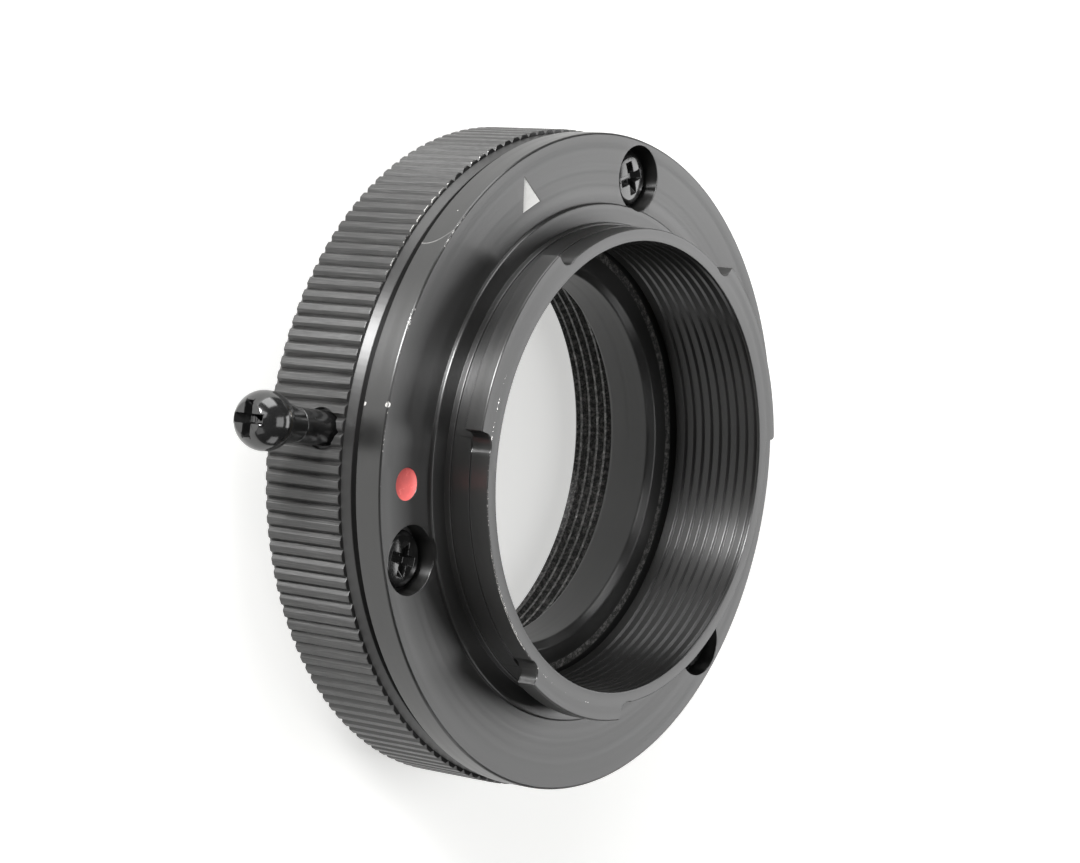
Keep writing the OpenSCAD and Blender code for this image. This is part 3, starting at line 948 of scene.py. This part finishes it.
def anodised(name, edges, color, roughness=0.34, chips=(), scratched=False, knurled=False, thread_r=None):
    """Black anodised aluminium. A worn edge has a radius, a height, an amount, and the middle and the half
    width of its stretch in degrees. A chip has an angle, a radius, a height and a size."""
    material, tree, shader = new_material(name, color, roughness, specular=1.0)
    shader.inputs["Anisotropic"].default_value = 0.8
    shader.inputs["Anisotropic Rotation"].default_value = 0.25
    rings = use_effect(tree, lathe_rings, Lines=6.0)
    skin = blend_color(tree, ramp(tree, noise(tree, 0.09, 4.0), 0.3, 0.75), color, shade(color, 1.6))
    if knurled:
        grain = use_effect(tree, pressed_grain, Top=knurl_top_z - 0.05)["Height"]
        skin = blend_color(tree, ramp(tree, grain, 0.45, 0.72, 0.0, 0.9), skin, shade(color, 5.0))
        bump(tree, shader, grain, 0.8, 0.03)
    else:
        bump(tree, shader, rings["Height"], 0.2, 0.006)
    worn = use_effect(tree, dust, Spacing=3.4, Size=0.07)["Mask"]
    masks = []
    for radius, height, amount, middle, spread in edges:
        masks.append(use_effect(tree, edge_wear, Edge_radius=radius, Edge_height=height, Amount=amount,
                                Middle=middle, Spread=spread)["Mask"])
    for angle, radius, height, size in chips:
        masks.append(use_effect(tree, chip, Angle=angle, Radius=radius, Height=height, Size=size)["Mask"])
    if scratched:
        masks.append(use_effect(tree, scratch)["Mask"] * 0.3)
    # The thread band is partly worn bare metal and partly a painted glint: it lightens the whole lens
    # thread in patches so that it looks lit.
    if thread_r:
        off_thread = abs(use_effect(tree, ring_place)["Radius"] - thread_r)
        thread_wear_and_glint = ramp(tree, noise(tree, 2.6, 4.0, rough=0.75), 0.4, 0.8, 0.03, 0.75)
        masks.append(calc(tree, "LESS_THAN", off_thread, 0.4) * thread_wear_and_glint)
    for mask in masks:
        worn = calc(tree, "MAXIMUM", worn, mask)
    satin = ramp(tree, rings["Streak"], 0.25, 0.8, roughness - 0.035, roughness + 0.035)
    feed(tree, blend_color(tree, worn, skin, bare_aluminium), shader.inputs["Base Color"])
    feed(tree, satin - worn * 0.1, shader.inputs["Roughness"])
    feed(tree, worn * 0.9, shader.inputs["Metallic"])
    print(name, "edges:", len(edges), "nodes:", len(tree.nodes))
    return material


black_mount = anodised("black_anodised", color=(0.006, 0.0059, 0.0057), edges=[
    (flange_r - 0.02, flange_z - 0.14, 0.62, 158, 22),
    (flange_r - 0.12, flange_z - 0.04, 0.75, 156, 34),
    (milled_r, collar_z, 1.1, 205, 60),
    (lug_r, collar_z, 0.5, 80, 170),
    (bore_r, collar_z, 0.34, 0, 400),
    (step_1_r, flange_z + step_1_h, 0.3, 190, 90),
], chips=[(170.1, 31.0, 14.9, 0.16), (169.9, 30.95, 17.42, 0.24)], scratched=True)
black_grip = anodised("black_anodised_grip", color=(0.011, 0.0108, 0.0106), roughness=0.4, edges=[
    (grip_r - 0.1, knurl_top_z - 0.02, 1.0, 138, 40),
    (grip_r, knurl_low_z, 0.35, 180, 180),
], knurled=True)
black_barrel = anodised("black_anodised_barrel", color=(0.012, 0.012, 0.0117), edges=[
    (lip_r, barrel_len, 0.3, 0, 400),
    (lip_r, 6.3, 0.4, 300, 120),
], thread_r=lens_minor_r + lens_thread_deep / 2)

# %% Black steel of the screws and the lever


def plain_metal(name, color, roughness, metallic, grain=1.2, specular=0.5):
    """A metal or enamel with clouded tone, uneven gloss and fine grain."""
    material, tree, shader = new_material(name, color, roughness, metallic, specular)
    cloud = noise(tree, grain, 4.0)
    tone = blend_color(tree, ramp(tree, cloud, 0.3, 0.7), shade(color, 0.86), color)
    gloss = ramp(tree, cloud, 0.25, 0.8, roughness * 0.8, roughness * 1.3)
    feed(tree, tone, shader.inputs["Base Color"])
    feed(tree, gloss, shader.inputs["Roughness"])
    bump(tree, shader, noise(tree, grain * 3, 2.0), 0.12, 0.004)
    return material


black_steel = plain_metal("black_steel", (0.012, 0.012, 0.012), 0.14, 0.0, specular=1.0)
satin_steel = plain_metal("satin_black_steel", (0.012, 0.012, 0.012), 0.22, 0.0, specular=1.0)
bare_steel = plain_metal("bare_steel", (0.55, 0.55, 0.56), 0.3, 1.0)
spring_steel = plain_metal("spring_steel", (0.42, 0.42, 0.43), 0.25, 1.0, grain=2.0)
brass = plain_metal("brass", (0.68, 0.5, 0.22), 0.32, 1.0)
red_enamel = plain_metal("red_enamel", (0.96, 0.19, 0.18), 0.25, 0.0, grain=0.8)
white_enamel = plain_metal("white_enamel", (0.76, 0.76, 0.74), 0.4, 0.0, grain=0.8)
print("materials:", [material.name for material in bpy.data.materials])

# %% [markdown]
# With its finish at hand, the knurl tree can run. It gives back one plain mesh.

# %% Run the knurl tree
focusing_ring = run_tree(knurl_tree, "focusing_ring", {
    "Teeth": teeth, "Weld": 1e-6, "Tooth": tooth, "Inside": ring_inside, "Finish": black_grip})
bpy.data.objects.remove(tooth)
bpy.data.objects.remove(ring_inside)
print("faces of the focusing ring:", len(focusing_ring.data.polygons))

# %% [markdown]
# Two more cuts finish the ring: the curved track that the stop pin runs in, hidden inside, and the round
# spot face that the lever's post is screwed down on.

# %% Track and spot face
lever_angle = 174.8
lever_z = 10.4
stop_angle = 120.0
stop_r = (hub_bore_r + hub_r) / 2
track_half = 1.0
spot_r = grip_r - tooth_deep - 0.5
post_r = 1.55
stud_r = 1.0


def at_lever(radius):
    """Local +Z points straight out of the ring at the lever."""
    return at_angle(lever_angle, radius, lever_z) @ Matrix.Rotation(math.radians(90), 4, "Y")


track_mesh = bmesh.new()
track_outline = [(stop_r - track_half, web_top_z - 1.6), (stop_r + track_half, web_top_z - 1.6),
                 (stop_r + track_half, web_top_z + 0.4), (stop_r - track_half, web_top_z + 0.4)]
track_end = math.degrees(math.asin(0.7 / stop_r)) + 0.3
sweep(track_mesh, track_outline, even_angles(120, stop_angle - 270 - track_end, stop_angle + track_end))
track_cutter = piece_from(track_mesh, "track_cutter")
spot_w = 1.85
spot_outline = [(0, sleeve_r - 1), (stud_r + 0.01, sleeve_r - 1), (stud_r + 0.01, spot_r), (spot_w, spot_r),
                (spot_w, grip_r + 1), (0, grip_r + 1)]
spot_cutter = turned("spot_cutter", spot_outline, 48, at_lever(0))
cut(focusing_ring, track_cutter, spot_cutter)
smooth(focusing_ring, sharp=28)
print("track of the stop pin, half angle past each stop:", round(track_end, 2))

# %% [markdown]
# The inner barrel has two threads. The lens screws into the fine one in its bore. A coarse one with six
# starts runs round the outside, and the focusing ring drives it. A thread is a wall whose crests climb
# as they go round, so the barrel is swept from an outline whose thread points rise with the angle.

# %% Threads that follow a helix
barrel_steps = 216
lens_pitch = 1.0
drive_pitch = 7.3333 / 6
drive_deep = 0.25


def thread_points(angle, low, high, pitch, lead, crest_r, root_r, flats):
    """Points (radius, height) of a thread at one angle, from low to high. flats gives the shares of a
    pitch at which the crest and the root start and end. Both mouths open to the root."""
    rise = lead * angle / 360
    open_way = 1 if root_r > crest_r else -1
    made = []
    first = math.floor(-lead / pitch) - 1
    for k in range(first, math.ceil((high - low) / pitch) + 1):
        for share, at_root in zip(flats, (False, False, True, True)):
            height = min(max(low + (k + share) * pitch + rise, low), high)
            inset = min(height - low, high - height)
            r = root_r if at_root else crest_r
            mouth = root_r - open_way * inset
            made.append((max(r, mouth) if open_way > 0 else min(r, mouth), height))
    return made


lens_flats = (0.0, 0.25, 0.5625, 0.6875)
drive_flats = (0.0, 0.4, 0.5, 0.9)
lens_thread_len = 5.9
runout_z = lens_thread_len + 0.3
barrel_mesh = bmesh.new()
columns = []
for angle in even_angles(barrel_steps):
    inner = thread_points(angle, 0.0, lens_thread_len, lens_pitch, lens_pitch,
                          lens_minor_r, lens_minor_r + lens_thread_deep, lens_flats)
    lip = rounded([
        (lens_minor_r + lens_thread_deep + 0.02, lens_thread_len + 0.02, 0.0),
        (lens_minor_r + lens_thread_deep + 0.02, runout_z, 0.02),
        (lip_r + 0.6, runout_z, 0.15),
        (lip_r, runout_z + 0.6, 0.2),
        (lip_r, barrel_len - 0.6, 0.2),
        (lip_r + 0.6, barrel_len, 0.15),
        (barrel_r - 0.55, barrel_len, 0.1),
        (barrel_r - drive_deep, barrel_len - 0.25, 0.0),
    ])
    outer = thread_points(angle, 0.45, barrel_len - 0.3, drive_pitch, 6 * drive_pitch,
                          barrel_r, barrel_r - drive_deep, drive_flats)
    foot = [(barrel_r - 0.6, 0.0)]
    points = inner + [(p.x, p.y) for p in lip] + outer[::-1] + foot
    columns.append(column(barrel_mesh, points, angle))
join_columns(barrel_mesh, columns, full_turn=False)
barrel = piece_from(barrel_mesh, "lens_barrel_ring", weld=2e-6)
print("faces of the barrel:", len(barrel.data.polygons))

# %% Key slots of the barrel
key_slot_mesh = bmesh.new()
slot_floor_r = spigot_r + 0.08
for angle in (40, 220):
    corners = [(0, -2.12), (barrel_r, -2.12), (barrel_r, 2.12), (0, 2.12)]
    prism(key_slot_mesh, corners, 3.0, barrel_len + 1, at_angle(angle, slot_floor_r))
key_slot_cutter = piece_from(key_slot_mesh, "key_slot_cutter")
cut(barrel, key_slot_cutter)
smooth(barrel, sharp=28)
print("floor of the key slots at radius", round(slot_floor_r, 2))

# %% [markdown]
# The three mount screws are alike, so one is made and Geometry Nodes set it at three places. Each
# place carries its own turn, because no two screws stop at the same angle when they are tightened.

# %% One mount screw
head_r = 2.6
head_h = 1.1


def cross_cutter(name, across, width, deep, place):
    """A tapered cross, as a cross-head driver leaves it, whose mouth is at height zero."""
    made = []
    for turn in (0, 90):
        levels = []
        for height, share in ((0.3, 1.12), (0.0, 1.0), (-deep, 0.5)):
            x = across / 2 * share
            y = width / 2 * (0.35 + 0.65 * share)
            levels.append((height, [(x, y), (-x, y), (-x, -y), (x, -y)]))
        mesh = bmesh.new()
        stack(mesh, levels, place @ Matrix.Rotation(math.radians(turn), 4, "Z"))
        made.append(piece_from(mesh, name + str(turn)))
    return made


screw_outline = rounded([
    (0, -4.4, 0), (0.8, -4.4, 0), (1.0, -4.2, 0), (1.0, 0, 0.1), (head_r - 0.05, 0, 0.05),
    (head_r, 0.1, 0.05), (head_r, 0.62, 0.2), (2.2, 0.96, 0.3), (1.2, head_h, 0.4), (0, head_h, 0)])
screw = turned("mount_screw", screw_outline, steps=56)
recess = cross_cutter("recess", 3.3, 0.9, 0.8, Matrix.Translation((0, 0, head_h * MM)))
cut(screw, *recess)
edges_broken(screw, 0.05, angle=35)
print("head of a mount screw, across and high:", 2 * head_r, head_h)

# %% Three screws by Geometry Nodes
places_data = bpy.data.meshes.new("screw_places")
seats = [at_angle(angle, screw_circle_r, seat_z).translation for angle in screw_angles]
places_data.from_pydata(seats, [], [])
head_turns = [math.radians(angle + 30 * (k + 1)) for k, angle in enumerate(screw_angles)]
places_data.attributes.new("turn", "FLOAT", "POINT").data.foreach_set("value", head_turns)
screw_places = bpy.data.objects.new("screw_places", places_data)
screw_tree, dial, result = new_tree("set_screws", {
    "Places": "NodeSocketObject",
    "Screw": "NodeSocketObject",
    "Scale": "NodeSocketFloat",
    "Finish": "NodeSocketMaterial",
})
add = screw_tree.nodes.new
link = screw_tree.links.new
places_info = add("GeometryNodeObjectInfo")
link(dial.outputs["Places"], places_info.inputs["Object"])
screw_info = add("GeometryNodeObjectInfo")
link(dial.outputs["Screw"], screw_info.inputs["Object"])
turn = add("GeometryNodeInputNamedAttribute")
turn.inputs["Name"].default_value = "turn"
about_z = add("ShaderNodeCombineXYZ")
link(turn.outputs["Attribute"], about_z.inputs["Z"])
setting = add("GeometryNodeInstanceOnPoints")
link(places_info.outputs["Geometry"], setting.inputs["Points"])
link(screw_info.outputs["Geometry"], setting.inputs["Instance"])
link(about_z.outputs[0], setting.inputs["Rotation"])
link(dial.outputs["Scale"], setting.inputs["Scale"])
real = add("GeometryNodeRealizeInstances")
link(setting.outputs[0], real.inputs[0])
finish = add("GeometryNodeSetMaterial")
link(real.outputs[0], finish.inputs["Geometry"])
link(dial.outputs["Finish"], finish.inputs["Material"])
link(finish.outputs[0], result.inputs[0])
mount_screws = run_tree(screw_tree, "mount_screws", {
    "Places": screw_places, "Screw": screw, "Scale": 1.0, "Finish": black_steel})
bpy.data.objects.remove(screw)
bpy.data.objects.remove(screw_places)
print("faces of the screws:", len(mount_screws.data.polygons))

# %% [markdown]
# The lever is two pieces: a round post screwed into the knurled ring, and a ball head with a cross
# recess and a short tapered neck that screws into the post. Both are turned about their own axis, which
# points straight out of the ring.

# %% Lever
post_end = grip_r + 3.35
head_len = 6.15
ball_r = 2.65
end_angle = 34
neck_angle = 132
ball_z = post_end + head_len - ball_r * math.cos(math.radians(end_angle))
post_outline = rounded([
    (0, sleeve_r + 0.12, 0), (stud_r, sleeve_r + 0.12, 0.1), (stud_r, spot_r, 0), (post_r, spot_r, 0.1),
    (post_r, post_end, 0.12), (0.85, post_end, 0.05), (0.85, post_end - 3.1, 0), (0, post_end - 3.1, 0)])
lever_post = turned("lever_post_pin", post_outline, 64, at_lever(0))
smooth(lever_post)
ball_points = []
for k in range(19):
    a = math.radians(neck_angle - (neck_angle - end_angle) * k / 18)
    ball_points.append((ball_r * math.sin(a), ball_z + ball_r * math.cos(a), 0))
head_outline = [(0, post_end - 2.8), (0.8, post_end - 2.8), (0.8, post_end), (post_r - 0.06, post_end),
                (post_r, post_end + 0.06)] + [p[:2] for p in ball_points]
flat_r, flat_z = ball_points[-1][:2]
head_outline += [(flat_r - 0.12, flat_z + 0.04), (0, flat_z + 0.04)]
head_outline = [(r, min(z, flat_z)) for r, z in head_outline]
lever_head = turned("lever_head", head_outline, 72, at_lever(0))
cut(lever_head, *cross_cutter("recess", 3.4, 0.86, 1.4, at_lever(flat_z)))
edges_broken(lever_head, 0.06, angle=35)
print("lever reaches radius", round(post_end + head_len, 2))

# %% [markdown]
# Every piece now gets its finish, rides on its body and stands for its node of the frame. The nodes that
# stay hidden inside keep their own solids and take a finish of their own.

# %% Finish, body and node of each piece


def dress(piece, material, body, slot, *nodes):
    piece.data.materials.clear()
    piece.data.materials.append(material)
    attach(piece, body)
    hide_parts(*nodes)


dress(mount, black_mount, "mount", "black_anodised", "bayonet_mount")
dress(dot, red_enamel, "mount", "red_enamel", "index_dot")
dress(mark, white_enamel, "mount", "white_enamel", "index_mark")
screw_nodes = ["mount_screw_1", "mount_screw_2", "mount_screw_3"]
dress(mount_screws, black_steel, "mount", "black_steel", *screw_nodes)
dress(focusing_ring, black_grip, "grip", "black_anodised_grip", "focus_ring")
dress(lever_post, satin_steel, "grip", "black_steel", "lever_post")
dress(lever_head, black_steel, "grip", "black_steel", "lever_screw")
dress(barrel, black_barrel, "barrel", "black_anodised_barrel", "lens_barrel")
inner_finish = {
    "base_ring": black_mount, "shim_ring": brass, "snap_ring": spring_steel, "stop_pin": bare_steel,
    "guide_key_1": brass, "guide_key_2": brass, "key_screw_1": bare_steel, "key_screw_2": bare_steel,
    "key_screw_3": bare_steel, "key_screw_4": bare_steel,
}
for node_name, material in inner_finish.items():
    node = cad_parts[node_name]
    node.data.materials.clear()
    node.data.materials.append(material)

# %% [markdown]
# The ring lies flat on white paper. Black anodising shows mostly what it mirrors, so soft lamps stand
# all round it: one far behind it lights the flat faces, and a small one near the camera draws the narrow
# streaks that turned surfaces show across their fine rings. The paper glows only where the camera or a
# reflection sees it, so it is white without lighting the ring.

# %% Floor
floor_data = bpy.data.meshes.new("floor")
floor_data.from_pydata([(-2, -2, 0), (2, -2, 0), (2, 2, 0), (-2, 2, 0)], [], [(0, 1, 2, 3)])
floor = bpy.data.objects.new("floor", floor_data)
bpy.context.scene.collection.objects.link(floor)
paper, tree, shader = new_material("white_paper", (0.8, 0.8, 0.79), 0.9, specular=0.1)
light_path = tree.nodes.new("ShaderNodeLightPath")
rays = ("Is Camera Ray", "Is Glossy Ray", "Is Transmission Ray")
camera_ray, glossy_ray, clear_ray = (Wire(tree, light_path.outputs[label]) for label in rays)
seen = calc(tree, "MAXIMUM", calc(tree, "MAXIMUM", camera_ray, glossy_ray), clear_ray)
shader.inputs["Emission Color"].default_value = (1, 1, 0.985, 1)
paper_glow = 0.52
feed(tree, seen * paper_glow, shader.inputs["Emission Strength"])
floor_data.materials.append(paper)
print("floor of paper, metres across:", floor_data.vertices[1].co.x - floor_data.vertices[0].co.x)

# %% World and lamps
world = bpy.data.worlds.new("studio")
world.use_nodes = True
backdrop = world.node_tree.nodes["Background"]
backdrop.inputs["Color"].default_value = (1, 1, 1, 1)
backdrop.inputs["Strength"].default_value = 0.08
bpy.context.scene.world = world
lamp_away = 0.55


def soft_lamp(name, around, above, size, level):
    """A square soft lamp of the given brightness, at angles round the ring and above the floor."""
    data = bpy.data.lights.new(name, "AREA")
    data.shape = "SQUARE"
    data.size = size
    data.energy = math.pi * size * size * level
    lamp = bpy.data.objects.new(name, data)
    turn = Matrix.Rotation(math.radians(around), 3, "Z") @ Matrix.Rotation(math.radians(-above), 3, "Y")
    lamp.location = turn @ Vector((lamp_away, 0, 0))
    lamp.rotation_euler = (Vector((0, 0, 0.01)) - lamp.location).to_track_quat("-Z", "Y").to_euler()
    bpy.context.scene.collection.objects.link(lamp)
    print(name, "at", [round(v, 3) for v in lamp.location], "watts", round(data.energy, 2))


soft_lamp("lamp_far", 0, 36, 0.3, 3.1)
soft_lamp("lamp_high", 0, 80, 0.3, 2.2)
soft_lamp("lamp_above", 95, 17, 0.35, 4.5)
soft_lamp("lamp_small", 145, 12, 0.12, 95.0)
soft_lamp("lamp_left", 150, 32, 0.2, 3.0)
soft_lamp("lamp_low", 215, 20, 0.25, 0.8)
soft_lamp("lamp_below", -80, 25, 0.25, 1.6)
